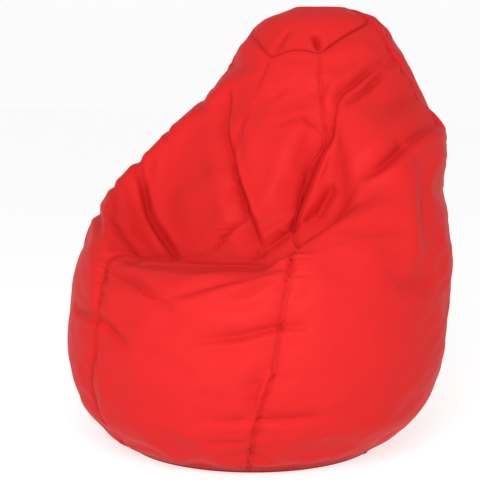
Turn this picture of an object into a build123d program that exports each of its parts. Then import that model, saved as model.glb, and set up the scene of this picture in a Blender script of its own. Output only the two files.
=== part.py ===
from build123d import *

import math
import os

# Bean bag chair: six sewn panels and a small top cap round a liner full of polystyrene beads.
# The bag stands on a flat base that a zip crosses, and leans back over it like a pear.
#
# Millimetres, +Z up, the sitter faces -Y, the origin is on the floor under the middle of the bag.
# Left and right are as seen by someone standing in front of the chair, so right is +X.

# ---- Form of the bag: three balls on one leaning line, joined by the cones that touch them ----------
# radius, and the ball's middle: x, y and height over the base's middle
BALLS = [
    (432, (0, 0, 282)),
    (370, (12, 87, 430)),
    (188, (41, 300, 792)),
]
BASE_ROUNDING = 75.0  # where the side turns under to the floor
BASE_X, BASE_Y = 0.0, -28.0  # the base's middle, which centres the leaning bag in its frame

# The hollow that a sitter presses into the front: a level floor, and a round back that leans
SEAT_FLOOR, SEAT_BACK_Y, SEAT_X = 440, -170, 8
SEAT_RADIUS = 235
SEAT_LEAN = 61  # of the hollow's back, up from level

# ---- Layers, as distances in from the bag's outer face ---------------------------------------------
COVER_INSIDE = 2.0
LINER_OUTSIDE, LINER_INSIDE = 5.0, 6.5
FILL_OUTSIDE = 9.5

# ---- Sewn joins -------------------------------------------------------------------------------------
PANEL_NAMES = [
    "front_panel",
    "front_right_panel",
    "back_right_panel",
    "back_panel",
    "back_left_panel",
    "front_left_panel",
]
SEAM_THREAD_NAMES = [
    "seam_thread_front_right",
    "seam_thread_right",
    "seam_thread_back_right",
    "seam_thread_back_left",
    "seam_thread_left",
    "seam_thread_front_left",
]
PANEL_ANGLE = 360 / len(PANEL_NAMES)
FRONT = -90  # direction that the first panel faces
SEAM_GAP = 4.0  # between the edges of neighbouring panels
THREAD_WIDTH = 3.2  # of the stitched ridge in that gap
THREAD_PROUD = 0.8  # of the cover's outer face
BASE_SEAM_HEIGHT = 8.0  # of the join between the base and the six panels
CAP_X, CAP_Y, CAP_Z = 40, 220, 914  # middle of the cap's rim, from the base's middle
CAP_TILT = 24  # the rim tips forward
REACH = 700  # beyond the bag in every direction

# ---- Zip along X under the base ---------------------------------------------------------------------
SLOT_LENGTH, SLOT_WIDTH = 490.0, 32.0
FLANGE_WALL, FLANGE_TOP = 1.5, 9.0
TAPE_THICK, TAPE_GAP = 0.8, 2.0
TOOTH_PITCH, TOOTH_LENGTH, TOOTH_HEIGHT = 5.0, 2.1, 2.6
TOOTH_REACH, TOOTH_ROOT = 1.1, 3.3  # past the middle line, and back over its own tape
TOOTH_CORNER = 0.6
TOOTH_COUNT = 86
TEETH_START = -211.0
SLIDER_X = 222.0  # closed
SLIDER_LENGTH, SLIDER_WIDTH, SLIDER_CORNER = 12.0, 11.0, 2.5
SLIDER_PLATE = 1.2
SLIDER_LOW, SLIDER_HIGH = 4.6, 10.2  # undersides of the lower and the upper plate
BRIDGE_X, BRIDGE_LENGTH, BRIDGE_WIDTH = 3.5, 3.0, 1.3  # joins the plates, ahead of the middle
RIM_LENGTH, RIM_WIDTH, RIM_FROM_EDGE = 6.0, 0.9, 0.5  # of the lower plate's raised sides
RIM_CLEARANCE = 0.5  # under the tapes
ARCH_HALF_LENGTH, ARCH_HALF_WIDTH, ARCH_BAR = 3.5, 1.1, 1.0
PULL_AXIS_Z = 3.4
PULL_LENGTH, PULL_WIDTH, PULL_THICK, PULL_CORNER = 26.0, 9.0, 1.3, 3.0
PULL_EYE_LENGTH, PULL_EYE_WIDTH = 5.6, 3.4
PULL_BAR = 1.2  # the round-edged end of the pull that turns in the slider's arch
STOP_LENGTH, STOP_WIDTH = 3.0, 4.4
TOP_STOP_X, BOTTOM_STOP_X = 231.5, -223.0
CHANNEL_LENGTH, CHANNEL_WIDTH, CHANNEL_TOP = 512.0, 40.0, 13.0  # the liner's clearance over the zip
LINER_JOIN_HEIGHT = 25.0  # where the liner's base meets its bag

# ---- Closing strip of the liner ---------------------------------------------------------------------
CLOSURE_LENGTH, CLOSURE_WIDTH, CLOSURE_THICK, CLOSURE_CORNER = 300.0, 25.0, 1.4, 4.0
CLOSURE_Y = 110.0


def from_base(x, y, height):
    """A point given from the middle of the base."""
    return Vector(BASE_X + x, BASE_Y + y, height)


def base_plane(height):
    """The level plane at a height, with its origin over the base's middle."""
    return Plane(from_base(0, 0, height))


def bag_form(inset):
    """The closed bag with the seat pressed in, every face moved inward by inset."""
    radii = [radius - inset for radius, middle in BALLS]
    middles = [from_base(*middle) for radius, middle in BALLS]
    foot = middles[0]
    lean = (middles[-1] - foot).normalized()
    stations = [(middle - foot).dot(lean) for middle in middles]
    side = lean.cross(Vector(1, 0, 0)).normalized()
    touches = [
        math.asin((radii[k] - radii[k + 1]) / (stations[k + 1] - stations[k]))
        for k in range(len(BALLS) - 1)
    ]
    turns = [-math.pi / 2, *touches, math.pi / 2]
    with BuildPart() as form:
        with BuildSketch(Plane(foot, x_dir=side, z_dir=side.cross(lean))):
            with BuildLine():
                for radius, station, start, end in zip(radii, stations, turns, turns[1:]):
                    CenterArc((0, station), radius, math.degrees(start), math.degrees(end - start))
                for k, turn in enumerate(touches):
                    Line(*[
                        (radii[j] * math.cos(turn), stations[j] + radii[j] * math.sin(turn))
                        for j in (k, k + 1)
                    ])
                Line((0, stations[-1] + radii[-1]), (0, -radii[0]))
            make_face()
        revolve(axis=Axis(foot, lean))
        split(bisect_by=Plane.XY.offset(inset), keep=Keep.TOP)
        fillet(form.edges().group_by(Axis.Z)[0], BASE_ROUNDING - inset)
        add(seat_hollow(inset), mode=Mode.SUBTRACT)
    return form.part


def seat_hollow(grow):
    """The space in front of the seat's back and over its floor, with every face moved out by grow."""
    radius = SEAT_RADIUS + grow
    slope = math.radians(SEAT_LEAN)
    middle = from_base(SEAT_X, SEAT_BACK_Y - SEAT_RADIUS / math.sin(slope), SEAT_FLOOR)
    with BuildPart() as hollow:
        with BuildSketch(Plane(middle, x_dir=(1, 0, 0), z_dir=(0, math.cos(slope), math.sin(slope)))):
            Circle(radius)
        extrude(amount=REACH, both=True)
        split(bisect_by=Plane.XY.offset(SEAT_FLOOR - grow), keep=Keep.TOP)
    return hollow.part


def layer_form(inset):
    """The bag's form inside the cover, hollowed underneath to clear the zip."""
    room = inset - LINER_OUTSIDE
    with BuildPart() as layer:
        add(bag_form(inset))
        with BuildSketch(base_plane(0)):
            Rectangle(CHANNEL_LENGTH + 2 * room, CHANNEL_WIDTH + 2 * room)
        extrude(amount=CHANNEL_TOP + room, mode=Mode.SUBTRACT)
    return layer.part


def along_spine(profile):
    """A profile drawn under the base, drawn out along the line from the base's middle to the cap's."""
    spine = from_base(CAP_X, CAP_Y, CAP_Z) - from_base(0, 0, 0)
    with BuildPart() as prism:
        with BuildSketch(Plane(from_base(0, 0, 0) - spine * 0.1)):
            add(profile)
        extrude(amount=1.4 * spine.length, dir=spine.normalized())
    return prism.part


def panel_wedge(angle):
    """Everything in one panel's share of the turn round the spine, less half a gap on each side."""
    half_angle = math.radians(PANEL_ANGLE / 2)
    near = SEAM_GAP / 2 / math.sin(half_angle)
    with BuildSketch() as share:
        with Locations(Rotation(0, 0, angle)):
            half_width = REACH * math.tan(half_angle)
            Polygon((near, 0), (near + REACH, half_width), (near + REACH, -half_width), align=None)
    return along_spine(share.sketch)


def seam_blade(angle):
    """A thin sheet from the spine outwards, where one seam runs."""
    with BuildSketch() as line:
        with Locations(Rotation(0, 0, angle)):
            Rectangle(REACH, THREAD_WIDTH, align=(Align.MIN, Align.CENTER))
    return along_spine(line.sketch)


def cap_plane(offset):
    """The cap's rim plane, moved by offset along its own axis."""
    tilt = math.radians(CAP_TILT)
    rim = Plane(from_base(CAP_X, CAP_Y, CAP_Z), z_dir=(0, -math.sin(tilt), math.cos(tilt)))
    return rim.offset(offset)


def sides_only(whole_skin):
    """The part of a skin between the base's seam and the cap's, less half a gap at each."""
    with BuildPart() as sides:
        add(whole_skin)
        split(bisect_by=Plane.XY.offset(BASE_SEAM_HEIGHT + SEAM_GAP / 2), keep=Keep.TOP)
        split(bisect_by=cap_plane(-SEAM_GAP / 2), keep=Keep.BOTTOM)
    return sides.part


def write(piece, name):
    piece.part.label = name
    export_step(piece.part, f"parts/{name}.step")


os.makedirs("parts", exist_ok=True)

# ---- Cover: a thin skin cut into six panels, a cap and a base --------------------------------------
inside = bag_form(COVER_INSIDE)
with BuildPart() as skin:
    add(bag_form(0))
    add(inside, mode=Mode.SUBTRACT)

with BuildPart() as thread_skin:
    add(bag_form(-THREAD_PROUD))
    add(inside, mode=Mode.SUBTRACT)

skin_sides = sides_only(skin.part)
for index, name in enumerate(PANEL_NAMES):
    with BuildPart() as panel:
        add(skin_sides)
        add(panel_wedge(FRONT + index * PANEL_ANGLE), mode=Mode.INTERSECT)
    write(panel, name)

thread_sides = sides_only(thread_skin.part)
for index, name in enumerate(SEAM_THREAD_NAMES):
    with BuildPart() as seam_thread:
        add(thread_sides)
        add(seam_blade(FRONT + (index + 0.5) * PANEL_ANGLE), mode=Mode.INTERSECT)
    write(seam_thread, name)

with BuildPart() as top_cap:
    add(skin.part)
    split(bisect_by=cap_plane(SEAM_GAP / 2), keep=Keep.TOP)
write(top_cap, "top_cap")

with BuildPart() as cap_seam_thread:
    add(thread_skin.part)
    split(bisect_by=cap_plane(-THREAD_WIDTH / 2), keep=Keep.TOP)
    split(bisect_by=cap_plane(THREAD_WIDTH / 2), keep=Keep.BOTTOM)
write(cap_seam_thread, "cap_seam_thread")

with BuildPart() as base_seam_thread:
    add(thread_skin.part)
    split(bisect_by=Plane.XY.offset(BASE_SEAM_HEIGHT - THREAD_WIDTH / 2), keep=Keep.TOP)
    split(bisect_by=Plane.XY.offset(BASE_SEAM_HEIGHT + THREAD_WIDTH / 2), keep=Keep.BOTTOM)
write(base_seam_thread, "base_seam_thread")

# ---- Base: two half moons whose edges turn up to carry the zip ---------------------------------------
with BuildPart() as base:
    add(skin.part)
    split(bisect_by=Plane.XY.offset(BASE_SEAM_HEIGHT - SEAM_GAP / 2), keep=Keep.BOTTOM)
    with BuildSketch(base_plane(0)):
        Rectangle(SLOT_LENGTH + 2 * FLANGE_WALL, SLOT_WIDTH + 2 * FLANGE_WALL)
    extrude(amount=FLANGE_TOP)
    with BuildSketch(base_plane(0)):
        Rectangle(SLOT_LENGTH, SLOT_WIDTH)
        Rectangle(2 * REACH, TAPE_GAP)
    extrude(amount=FLANGE_TOP, mode=Mode.SUBTRACT)

for name, half in zip(("base_panel_front", "base_panel_rear"), base.solids().sort_by(Axis.Y)):
    with BuildPart() as base_panel:
        add(half)
    write(base_panel, name)

ball_radius, ball_height = BALLS[0][0] - BASE_ROUNDING, BALLS[0][1][2] - BASE_ROUNDING
base_edge = math.sqrt(ball_radius**2 - ball_height**2)
thread_start = SLOT_LENGTH / 2 + FLANGE_WALL
with BuildPart() as base_middle_thread:
    with BuildSketch(base_plane(0)):
        with Locations(
            ((thread_start + base_edge) / 2, 0),
            (-(thread_start + base_edge) / 2, 0),
        ):
            Rectangle(base_edge - thread_start, THREAD_WIDTH / 2)
    extrude(amount=COVER_INSIDE)
write(base_middle_thread, "base_middle_thread")

# ---- Zip: two tapes on the turned-up edges, with the teeth hanging under them ------------------------
tape_width = (SLOT_WIDTH - TAPE_GAP) / 2 + FLANGE_WALL
for name, side in (("zip_tape_front", -1), ("zip_tape_rear", 1)):
    with BuildPart() as tape:
        with BuildSketch(base_plane(FLANGE_TOP)):
            with Locations((0, side * (TAPE_GAP + tape_width) / 2)):
                Rectangle(SLOT_LENGTH + 2 * FLANGE_WALL, tape_width)
        extrude(amount=TAPE_THICK)
    write(tape, name)

tooth_width = TOOTH_REACH + TOOTH_ROOT
for name, side, shift in (("zip_teeth_front", -1, 0), ("zip_teeth_rear", 1, TOOTH_PITCH / 2)):
    with BuildPart() as teeth:
        with BuildSketch(base_plane(FLANGE_TOP)):
            with Locations(*[
                (TEETH_START + shift + index * TOOTH_PITCH, side * (TOOTH_ROOT - TOOTH_REACH) / 2)
                for index in range(TOOTH_COUNT)
            ]):
                RectangleRounded(TOOTH_LENGTH, tooth_width, TOOTH_CORNER)
        extrude(amount=-TOOTH_HEIGHT)
    write(teeth, name)

with BuildPart() as zip_top_stops:
    with BuildSketch(base_plane(FLANGE_TOP)):
        with Locations(*[(TOP_STOP_X, side * (TAPE_GAP + STOP_WIDTH) / 2) for side in (-1, 1)]):
            RectangleRounded(STOP_LENGTH, STOP_WIDTH, TOOTH_CORNER)
    extrude(amount=-TOOTH_HEIGHT)
write(zip_top_stops, "zip_top_stops")

with BuildPart() as zip_bottom_stop:
    with BuildSketch(base_plane(FLANGE_TOP)):
        with Locations((BOTTOM_STOP_X, 0)):
            RectangleRounded(STOP_LENGTH, 2 * STOP_WIDTH + TAPE_GAP, TOOTH_CORNER)
    extrude(amount=-TOOTH_HEIGHT)
write(zip_bottom_stop, "zip_bottom_stop")

# ---- Slider: two plates joined by a narrow bridge, with an arch below for the pull -------------------
with BuildPart() as zip_slider:
    with BuildSketch(base_plane(SLIDER_LOW)):
        with Locations((SLIDER_X, 0)):
            RectangleRounded(SLIDER_LENGTH, SLIDER_WIDTH, SLIDER_CORNER)
    extrude(amount=SLIDER_PLATE)
    with BuildSketch(base_plane(SLIDER_HIGH)):
        with Locations((SLIDER_X, 0)):
            RectangleRounded(SLIDER_LENGTH, SLIDER_WIDTH, SLIDER_CORNER)
    extrude(amount=SLIDER_PLATE)
    with BuildSketch(base_plane(SLIDER_LOW)):
        with Locations((SLIDER_X + BRIDGE_X, 0)):
            SlotOverall(BRIDGE_LENGTH, BRIDGE_WIDTH)
    extrude(amount=SLIDER_HIGH - SLIDER_LOW + SLIDER_PLATE)
    with BuildSketch(base_plane(SLIDER_LOW)):
        with Locations(*[
            (SLIDER_X, side * (SLIDER_WIDTH / 2 - RIM_FROM_EDGE)) for side in (-1, 1)
        ]):
            Rectangle(RIM_LENGTH, RIM_WIDTH)
    extrude(amount=FLANGE_TOP - SLIDER_LOW - RIM_CLEARANCE)
    arch_low = 2 * PULL_AXIS_Z - SLIDER_LOW - ARCH_BAR
    with BuildSketch(base_plane(arch_low)):
        with Locations((SLIDER_X, 0)):
            Rectangle(2 * ARCH_HALF_LENGTH + ARCH_BAR, 2 * ARCH_HALF_WIDTH)
    extrude(amount=ARCH_BAR)
    with BuildSketch(base_plane(arch_low)):
        with Locations((SLIDER_X - ARCH_HALF_LENGTH, 0), (SLIDER_X + ARCH_HALF_LENGTH, 0)):
            Rectangle(ARCH_BAR, 2 * ARCH_HALF_WIDTH)
    extrude(amount=SLIDER_LOW - arch_low)
write(zip_slider, "zip_slider")

# The pull lies flat under the closed teeth, pointing away from the stops
with BuildPart() as zip_pull_tab:
    with BuildSketch(base_plane(PULL_AXIS_Z - PULL_THICK / 2)):
        with Locations((SLIDER_X - PULL_LENGTH / 2 + PULL_BAR / 2, 0)):
            RectangleRounded(PULL_LENGTH, PULL_WIDTH, PULL_CORNER)
        with Locations((SLIDER_X - PULL_EYE_LENGTH / 2 - PULL_BAR / 2, 0)):
            Rectangle(PULL_EYE_LENGTH, PULL_EYE_WIDTH, mode=Mode.SUBTRACT)
    extrude(amount=PULL_THICK)
    fillet(zip_pull_tab.edges().filter_by(Axis.Y).sort_by(Axis.X)[-2:], PULL_THICK / 2 - 0.05)
write(zip_pull_tab, "zip_pull_tab")

# ---- Liner and beads ----------------------------------------------------------------------------------
with BuildPart() as liner:
    add(layer_form(LINER_OUTSIDE))
    add(layer_form(LINER_INSIDE), mode=Mode.SUBTRACT)

for name, side in (("liner_bag", Keep.TOP), ("liner_base", Keep.BOTTOM)):
    with BuildPart() as liner_piece:
        add(liner.part)
        split(bisect_by=Plane.XY.offset(LINER_JOIN_HEIGHT), keep=side)
    write(liner_piece, name)

with BuildPart() as liner_closure:
    with BuildSketch(base_plane(LINER_OUTSIDE)):
        with Locations((0, CLOSURE_Y)):
            RectangleRounded(CLOSURE_LENGTH, CLOSURE_WIDTH, CLOSURE_CORNER)
    extrude(amount=-CLOSURE_THICK)
write(liner_closure, "liner_closure")

with BuildPart() as bead_fill:
    add(layer_form(FILL_OUTSIDE))
write(bead_fill, "bead_fill")
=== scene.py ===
import math

import bpy
import numpy as np
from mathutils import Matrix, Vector


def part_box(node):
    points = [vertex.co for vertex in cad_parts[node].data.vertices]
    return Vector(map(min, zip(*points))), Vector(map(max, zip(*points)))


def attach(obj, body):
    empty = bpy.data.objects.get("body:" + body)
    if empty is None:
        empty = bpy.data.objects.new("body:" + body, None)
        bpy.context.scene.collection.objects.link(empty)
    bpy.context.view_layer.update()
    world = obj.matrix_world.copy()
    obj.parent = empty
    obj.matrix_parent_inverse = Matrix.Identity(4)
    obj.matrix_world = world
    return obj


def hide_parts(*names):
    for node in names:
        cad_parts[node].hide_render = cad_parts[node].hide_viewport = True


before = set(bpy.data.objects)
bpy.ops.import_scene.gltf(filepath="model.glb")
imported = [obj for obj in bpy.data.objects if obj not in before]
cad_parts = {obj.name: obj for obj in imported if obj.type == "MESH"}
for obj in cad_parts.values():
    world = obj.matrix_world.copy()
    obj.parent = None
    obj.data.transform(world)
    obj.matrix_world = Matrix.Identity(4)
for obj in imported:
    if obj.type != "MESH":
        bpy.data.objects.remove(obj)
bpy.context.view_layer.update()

# Bean bag chair in red satin polyester: six panels and a cap sewn round a bag of beads.
# Metres, in the frame's axes: +Z up, the sitter faces -Y. A "turn" is an angle in degrees round
# the bag seen from above, with the front at -90 and +X at 0. A "height" is where a point of the
# side stood before anyone sat down.
BASE_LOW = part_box("base_panel_front")[0]
BASE_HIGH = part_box("base_panel_rear")[1]
BASE = np.array([(BASE_LOW.x + BASE_HIGH.x) / 2, (BASE_LOW.y + BASE_HIGH.y) / 2, 0.0])
SLOT_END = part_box("zip_tape_rear")[1].x  # both ways from the middle: where the zip's tapes end

# ---- Form of the bag -----------------------------------------------------------------------------
# Level rings from the floor up: height, half width, half depth, lean to +X, lean to +Y
RINGS = np.array([
    (0.000, 0.280, 0.280, -0.005, 0.000),
    (0.038, 0.334, 0.334, -0.004, 0.002),
    (0.115, 0.398, 0.398, -0.001, 0.006),
    (0.240, 0.427, 0.427, -0.002, 0.014),
    (0.385, 0.425, 0.425, 0.000, 0.040),
    (0.530, 0.390, 0.390, 0.003, 0.100),
    (0.670, 0.328, 0.328, 0.022, 0.185),
    (0.790, 0.242, 0.240, 0.032, 0.252),
    (0.890, 0.184, 0.182, 0.026, 0.280),
    (0.950, 0.136, 0.130, 0.024, 0.290),
    (0.981, 0.060, 0.055, 0.026, 0.294),
])
# A ray this long leaves the bag from anywhere inside. It is halved so often to find the face.
BAG_REACH, HALVINGS = 0.8, 26
CAP_MIDDLE = np.array([0.040, 0.220, 0.914])  # from the base's middle
CAP_TILT = math.radians(24)
CAP_UP = np.array([0, -math.sin(CAP_TILT), math.cos(CAP_TILT)])
CAP_CORNER_LIFT, CAP_EDGE_LIFT = math.radians(5.5), math.radians(10.5)  # of the rim over the dome
CAP_LIFT_FROM = 0.72  # share of the side's rows below which nothing is lifted
BASE_SEAM_Z = 0.003
# Where the side's rows lie: share of all rows, and share of the way from base seam to cap seam
ROW_SHARES = (0, 0.30, 0.46, 0.60, 1)
ROW_RISES = (0, 0.34, 0.50, 0.60, 1)
LEVEL_RISE = 0.35  # up to here the rows are level, then they tip towards the cap's tilt

# How far sitting has pressed the front back and down, by height above the seat's own lip line
SEAT_HEIGHTS = (0.385, 0.430, 0.450, 0.480, 0.520, 0.600, 0.680, 0.750, 0.820, 0.880)
SEAT_PUSH = (0.0, 0.022, 0.080, 0.165, 0.176, 0.140, 0.098, 0.058, 0.020, 0.0)
SEAT_DROP = (0.0, 0.002, 0.016, 0.048, 0.062, 0.044, 0.018, 0.004, 0.0, 0.0)
SEAT_TURNS = (-180, -158, -132, -112, -75, -62, -45, -22, 0)
SEAT_DEPTH = (0.0, 0.0, 0.62, 1.0, 1.0, 0.80, 0.24, 0.0, 0.0)  # how fully it is pressed, by turn
SEAT_RISE = (0.12, 0.12, 0.075, 0.0, 0.0, 0.055, 0.11, 0.14, 0.14)  # how much higher the lip is
SEAT_RISE_TOP, SEAT_RISE_FOOT = 0.88, 0.55  # no rise above the one, all of it below the other
SEAT_BEHIND = 0.2  # behind this the bag is not pressed

# ---- Seams ---------------------------------------------------------------------------------------
# The two front seams wander into the seat's folds: height, turn. The other four run straight up.
FRONT_LEFT_SEAM = (
    (0.00, -122), (0.15, -120), (0.26, -115), (0.40, -116), (0.445, -118),
    (0.458, -113), (0.472, -103), (0.52, -97), (0.55, -94), (0.58, -91),
    (0.655, -101), (0.72, -105), (0.76, -108), (0.86, -107),
)
FRONT_RIGHT_SEAM = (
    (0.00, -65), (0.17, -64), (0.25, -62), (0.40, -62), (0.46, -63), (0.50, -68),
    (0.553, -75), (0.606, -73), (0.662, -69), (0.71, -62), (0.75, -61), (0.86, -58),
)
STRAIGHT_SEAMS = (21, 73, 126, 180)
MIDDLE_HEIGHT = 0.4  # where every seam is taken to be before its own height is known
PANELS = (
    "front_panel", "front_right_panel", "back_right_panel",
    "back_panel", "back_left_panel", "front_left_panel",
)
# Each panel's cloth laid flat: its width and length, and the area of the leaf cut from that
PANEL_CLOTH = {
    "front_panel": ((0.46, 1.26), 0.36), "front_right_panel": ((0.65, 1.26), 0.55),
    "back_right_panel": ((0.36, 1.13), 0.32), "back_panel": ((0.37, 1.15), 0.36),
    "back_left_panel": ((0.41, 1.13), 0.36), "front_left_panel": ((0.67, 1.27), 0.50),
}
CAP_CLOTH = (0.28, 0.26), 0.062
BASE_CLOTH = (0.58, 0.31), 0.12
LINER_BASE_CLOTH = (0.66, 0.66), 0.30
LINER_BAG_CLOTH = (2.70, 1.30), 2.30
SEAM_THREADS = (
    "seam_thread_front_left", "seam_thread_front_right", "seam_thread_right",
    "seam_thread_back_right", "seam_thread_back_left", "seam_thread_left",
)
PANEL_COLUMNS, SIDE_ROWS = 84, 240
EVEN_COLUMNS = 0.36  # 1 spreads a panel's columns evenly, 0 crowds them most beside its seams
CLOTH_THICK, LINER_THICK = 0.0009, 0.0004

# What a seam does to the cloth beside it. Depths, heights and widths in metres.
GROOVE_DEPTH, GROOVE_WIDTH = 0.0024, 0.011
STITCH_DIP, STITCH_DIP_WIDTH = 0.0017, 0.0016
PUCKER_HEIGHT, PUCKER_WIDTH, PUCKER_RATE = 0.0036, 0.040, 105
TAUT_FROM, TAUT_TO, TAUT_SHARE = 0.56, 0.68, 0.6  # the two front seams lie flatter above the seat
FRONT_SEAMS = 2
BASE_HEM, CAP_HEM, HEM_SHARE = 0.0008, 0.0035, 0.006  # how far in the side's two edges are drawn
BIG_DENT, SMALL_DENT = 0.0028, 0.0011  # slow unevenness of the whole bag
WAVE_SIZES, WAVE_PEAK = (1.0, 1.7, 2.9, 4.3), 2.2  # of the waves in a ripple, and of their sum

# The simulated cloth: grid, frames, how much each seam gathers and how much spare cloth there is
CLOTH_ROWS, CLOTH_COLUMNS, CLOTH_FRAMES = 150, 48, 14
SEAM_GATHER, SPARE_CLOTH = 0.03, 0.025
LOOSE_HOLD, NEXT_HOLD, NEXT_GATHER = 0.12, 0.6, 0.6  # of the open cloth, and one step from an edge
WRINKLE_CAP, WRINKLE_GAIN = 0.0055, 0.8
FINE_PASSES, COARSE_PASSES = 1, 60  # of softening: wrinkles between these two sizes are kept

# Stitches: rows run to both sides of a seam
STITCH_OFFSET, STITCH_PITCH, STITCH_LENGTH, STITCH_RADIUS = 0.0045, 0.0044, 0.0033, 0.0005
BASE_STITCH_OFFSET = 0.003

# ---- Cap, base and the layers inside -------------------------------------------------------------
CAP_ROWS, CAP_STEP = 40, 2  # rows from rim to middle; side columns to one of the cap's
RIM_ROWS = 3  # of the side, below the cap, that its lower row of stitches may run over
# Creases from the cap's corners: which corner, how many rows in, how deep
CAP_CREASES = ((0, 15, 0.006), (1, 12, 0.012), (2, 13, 0.004), (4, 12, 0.004))
CAP_CREASE_LEFT, CAP_CREASE_RIGHT = 0.007, 0.010
CAP_DENTS = 0.5  # of the side's unevenness

BASE_Z = 0.0004  # of the base's outer face, where it lies flat
BASE_INSET = 0.0012  # of its rim inside the side's lower edge
BASE_RIM_WIDTH = 0.018  # over which it rises to the side's edge
BASE_COLUMNS, BASE_ROWS = 121, 30
BASE_BEND = 88.5  # degrees round the half moon's rim, to both sides of its middle
# The straight edge's distance from the middle line, beyond the zip and beside it
MIDDLE_GAP, SLOT_HALF_WIDTH = 0.0003, 0.0155
SLOT_CORNER = 0.0006, 0.002  # how far past the tapes the slot ends, and the length of its slope
# The edge beside the zip: steps away from it, and height
TURN_UP = ((0, 0.0085), (0.001, 0.0055), (0.0022, 0.0015), (0.005, 0.0004))
FLAT_FROM = 0.012  # from the edge
MIDDLE_STITCHES, MIDDLE_STITCH_FROM, MIDDLE_STITCH_TO = 30, 0.004, 0.020

INNER_ROW_STEP, INNER_COLUMN_STEP = 3, 4  # side rows and columns to one of the layers inside
INNER_RING_ROWS = 14  # under the bag, and over under the cap
INNER_CLEAR = 5  # a layer stays inside the deepest fold within so many rows and columns
LINER_INSET, LINER_FLOOR = 0.007, 0.006
BEADS_INSET, BEADS_FLOOR = 0.0105, 0.0085
DOME_INSET = 0.006  # more, under the cap
HUMP, HUMP_FROM, HUMP_TO = 0.0085, 0.026, 0.075  # over the zip: height, where it is whole and ends
LINER_BASE_ROWS = 15  # from its middle to a little way up the side, where its bag begins

# ---- Folds: turn and height of points along each one, depth, width to its left and to its right --
# Left and right are those of someone following the points, outside the bag. Widths in metres.
FOLD_ROUNDNESS = 1.35
SHOULDER_HEIGHT, SHOULDER_PLACE, SHOULDER_WIDTH = 0.22, 2.1, 0.8  # in the fold's depths and widths
FOLD_REACH = 4  # widths from the fold beyond which it does nothing
PATH_FINENESS, PATH_SOFTENING = 12, 6
FOLDS = {
    "left_pleat": (
        ((-140, .80), (-115, .712), (-101, .655), (-90, .577), (-82, .505)), .021, .008, .024
    ),
    "right_valley": (((-57, .725), (-66, .680), (-72, .620), (-76, .553)), .036, .009, .034),
    "left_arm_crease": (
        ((-153, .625), (-138, .586), (-123, .536), (-102, .461)), .018, .008, .008
    ),
    "left_arm_nick": (((-148, .640), (-138, .598)), .008, .009, .009),
    "left_arm_edge": (((-142, .550), (-125, .498), (-110, .444)), .007, .016, .012),
    "right_arm_upper": (
        ((24, .885), (8, .862), (-29, .811), (-43, .787), (-58, .721)), .015, .008, .011
    ),
    "right_arm_lower": (((24, .868), (8, .848), (-18, .803), (-41, .769)), .014, .009, .008),
    "right_arm_long": (((24, .712), (-4, .694), (-30, .648), (-45, .626)), .024, .010, .022),
    "arm_pucker": (((-61, .634), (-68, .579)), .015, .010, .010),
    "arm_underside": (((-86, .500), (-76, .553), (-66, .585)), .014, .012, .012),
    "seat_corner": (((-102, .488), (-96, .540), (-91, .578)), .008, .018, .004),
    "seat_line": (((-111, .440), (-95, .455), (-80, .463), (-62, .467)), .010, .010, .010),
    "low_fold": (((-80, .139), (-62, .143), (-45, .148)), .009, .014, .008),
    "low_line": (((-80, .086), (-66, .091)), .004, .009, .009),
    "sag_upper_left": (((-116, .430), (-102, .406), (-90, .362)), .011, .015, .010),
    "sag_upper_right": (((-62, .458), (-75, .433), (-92, .386)), .011, .009, .016),
    "sag_lower_left": (((-132, .325), (-117, .322), (-100, .273)), .010, .012, .008),
    "sag_lower_right": (((-54, .335), (-62, .338), (-72, .319), (-86, .303)), .011, .008, .014),
    "seam_shade": (((-66, .150), (-66, .200), (-64, .262)), .008, .020, .006),
    "slope_nick_1": (((-160, .505), (-142, .500), (-128, .478)), .009, .010, .008),
    "slope_nick_2": (((-165, .560), (-148, .556), (-134, .530)), .006, .008, .006),
    "slope_nick_3": (((-172, .625), (-158, .618), (-146, .600)), .009, .011, .008),
    "slope_nick_4": (((-178, .700), (-160, .690), (-142, .672)), .007, .008, .006),
    "slope_nick_5": (((-178, .765), (-160, .755), (-140, .748)), .008, .012, .009),
    "shoulder_nick": (((22, .780), (2, .770), (-14, .752)), .007, .012, .010),
    "right_side_dent": (((-30, .402), (-10, .394)), .010, .026, .016),
    "back_wrinkle": (((-90, .722), (-72, .742)), .004, .008, .008),
    "seat_top_pucker": (((-73, .744), (-61, .720)), .011, .007, .007),
    "neck_hollow": (((-178, .852), (-152, .846), (-128, .836)), .010, .028, .028),
    "neck_wrinkle": (((-96, .775), (-82, .802)), .005, .008, .008),
}
RIDGES = {
    "left_slope_bulge": (((-148, .440), (-154, .530), (-160, .620)), -.010, .055, .055),
    "shoulder_corner": (((34, .705), (8, .686), (-16, .666)), -.027, .050, .044),
    "right_facet": (((-12, .690), (-20, .560), (-24, .410)), -.013, .022, .060),
}


def smooth_through(x, xs, ys):
    """A smooth curve through the points (xs, ys), with no overshoot between them, read at x."""
    xs = np.asarray(xs, float)
    ys = np.asarray(ys, float)
    steps = np.diff(xs)
    slopes = np.diff(ys) / steps
    tangents = np.zeros_like(ys)
    same = slopes[:-1] * slopes[1:] > 0
    weights = 2 * slopes[:-1] * slopes[1:] / np.where(same, slopes[:-1] + slopes[1:], 1)
    tangents[1:-1] = np.where(same, weights, 0)
    tangents[0], tangents[-1] = slopes[0], slopes[-1]
    x = np.clip(x, xs[0], xs[-1])
    k = np.clip(np.searchsorted(xs, x) - 1, 0, len(steps) - 1)
    h = steps[k]
    t = (x - xs[k]) / h
    return (
        (1 + 2 * t) * (1 - t) ** 2 * ys[k]
        + t * (1 - t) ** 2 * h * tangents[k]
        + t * t * (3 - 2 * t) * ys[k + 1]
        + t * t * (t - 1) * h * tangents[k + 1]
    )


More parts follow.
